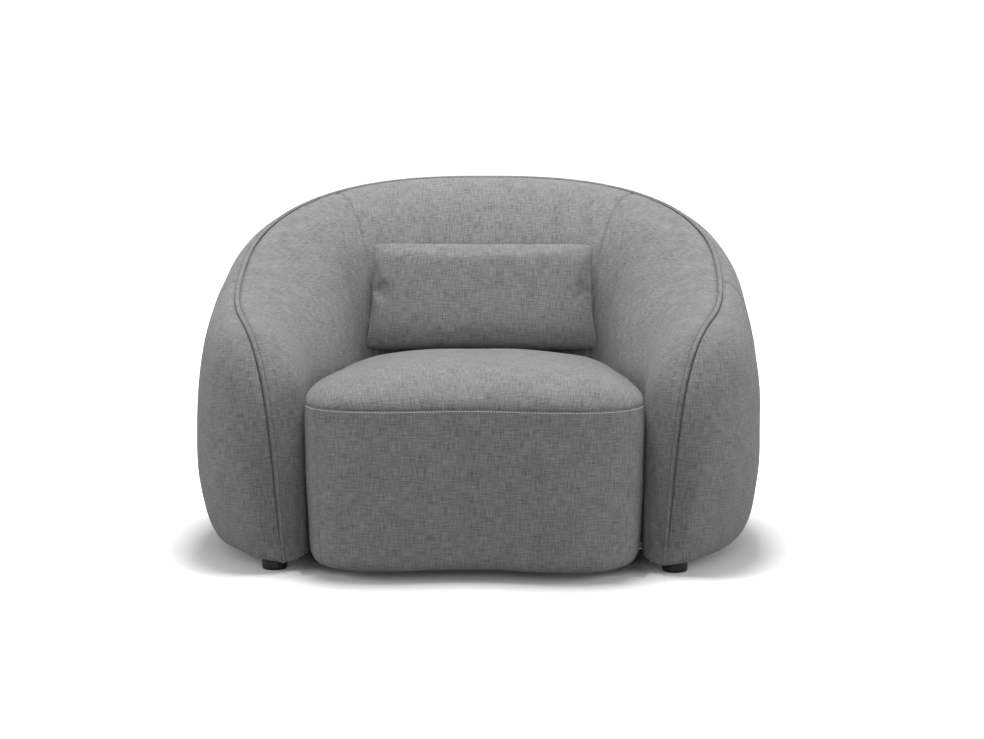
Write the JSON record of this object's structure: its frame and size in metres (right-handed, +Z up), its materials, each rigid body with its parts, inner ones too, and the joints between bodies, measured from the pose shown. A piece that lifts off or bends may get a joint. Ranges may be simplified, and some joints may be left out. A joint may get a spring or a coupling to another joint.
{
  "type": "upholstered armchair",
  "caption": "Low tub armchair: a C-shaped padded shell wraps a sprung seat and carries a loose lumbar pillow; piped crest line, grey woven fabric, round black feet.",
  "frame": {"origin": "on the floor, at the middle of the overall width and depth", "axes": "+X to the right hand of someone looking at the front, +Y from the seat's front towards the back, +Z up"},
  "size_m": [1.117, 0.9518, 0.736],
  "materials": {
    "grey_fabric": "heathered grey linen-look weave",
    "pillow_fabric": "heathered grey linen-look weave",
    "foam": "open-cell polyurethane foam",
    "wadding": "polyester fibre wadding",
    "hardboard": "brown hardboard",
    "plywood": "birch plywood, unfinished",
    "zinc_steel": "zinc-plated steel",
    "zip_metal": "dark nickel-plated zinc",
    "felt": "needled grey felt",
    "dust_cloth": "black spun-bonded cloth",
    "foot_plastic": "black moulded plastic",
    "zip_plastic": "dark grey coil zip"
  },
  "bodies": {
    "chair": {"corner_block_front_left": "plywood", "corner_block_front_right": "plywood", "corner_block_rear_left": "plywood", "corner_block_rear_right": "plywood", "foot_front_left": "foot_plastic", "foot_front_right": "foot_plastic", "foot_rear_left": "foot_plastic", "foot_rear_right": "foot_plastic", "foot_screw_front_left": "zinc_steel", "foot_screw_front_right": "zinc_steel", "foot_screw_rear_left": "zinc_steel", "foot_screw_rear_right": "zinc_steel", "inner_board": "hardboard", "inner_cover_back": "grey_fabric", "inner_cover_left": "grey_fabric", "inner_cover_right": "grey_fabric", "inner_foam_back": "foam", "inner_foam_left": "foam", "inner_foam_right": "foam", "outer_board": "hardboard", "outer_cover_back": "grey_fabric", "outer_cover_left": "grey_fabric", "outer_cover_right": "grey_fabric", "outer_wadding": "wadding", "rib_arm_front_left": "plywood", "rib_arm_front_right": "plywood", "rib_arm_middle_left": "plywood", "rib_arm_middle_right": "plywood", "rib_back": "plywood", "rib_corner_left": "plywood", "rib_corner_right": "plywood", "seat_base_plate": "plywood", "seat_dust_cover": "dust_cloth", "seat_foam": "foam", "seat_front_and_side_cover": "grey_fabric", "seat_rail_front": "plywood", "seat_rail_left": "plywood", "seat_rail_rear": "plywood", "seat_rail_right": "plywood", "seat_top_cover": "grey_fabric", "seat_wadding": "wadding", "shell_base_plate": "plywood", "shell_dust_cover": "dust_cloth", "spring_1": "zinc_steel", "spring_2": "zinc_steel", "spring_3": "zinc_steel", "spring_4": "zinc_steel", "spring_channel_front": "zinc_steel", "spring_channel_rear": "zinc_steel", "spring_felt": "felt", "tie_bar_front": "zinc_steel", "tie_bar_rear": "zinc_steel", "top_rail": "plywood", "welt_cord": "grey_fabric"},
    "pillow": {"pillow_cover_back": "pillow_fabric", "pillow_cover_front": "pillow_fabric", "pillow_filling": "wadding", "zip_chain": "zip_plastic"},
    "zip_slider": {"zip_slider": "zip_metal"},
    "zip_pull": {"zip_pull": "zip_metal"}
  },
  "joints": [
    {"name": "pillow_lift", "type": "slide", "parent": "chair", "child": "pillow", "axis": [0, 0, 1], "range_m": [0, 0.4]},
    {"name": "zip_slide", "type": "slide", "parent": "pillow", "child": "zip_slider", "axis": [1, 0, 0], "range_m": [0, 0.158]},
    {"name": "zip_pull_swing", "type": "hinge", "parent": "zip_slider", "child": "zip_pull", "pos_m": [-0.079, 0.14769, 0.39637], "axis": [1, 0, 0], "range_deg": [-38, 30]}
  ]
}
